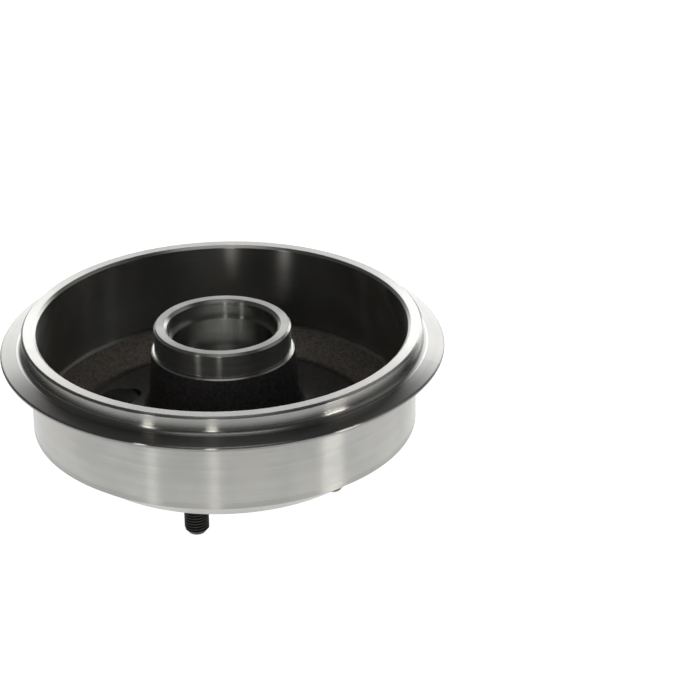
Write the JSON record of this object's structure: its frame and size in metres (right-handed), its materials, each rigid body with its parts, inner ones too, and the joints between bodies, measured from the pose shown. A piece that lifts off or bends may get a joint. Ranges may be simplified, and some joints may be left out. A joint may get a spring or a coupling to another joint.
{
  "type": "brake drum",
  "caption": "Rear brake drum with integral wheel hub, stepped bearing bore, flanged rim, centring nose and pressed-in wheel studs.",
  "frame": {"origin": "centre of the wheel mounting face, on the drum's axis", "axes": "+Z along the drum's axis towards the open side that faces the backing plate; +X through one wheel stud; the studs and the nose point to -Z"},
  "size_m": [0.215, 0.215, 0.085],
  "materials": {
    "drum_iron": "turned grey iron, rough as cast inside on the web and boss",
    "stud_steel": "black phosphate"
  },
  "bodies": {
    "root": {"brake_drum": "drum_iron", "wheel_stud_1": "stud_steel", "wheel_stud_2": "stud_steel", "wheel_stud_3": "stud_steel", "wheel_stud_4": "stud_steel"}
  },
  "joints": []
}
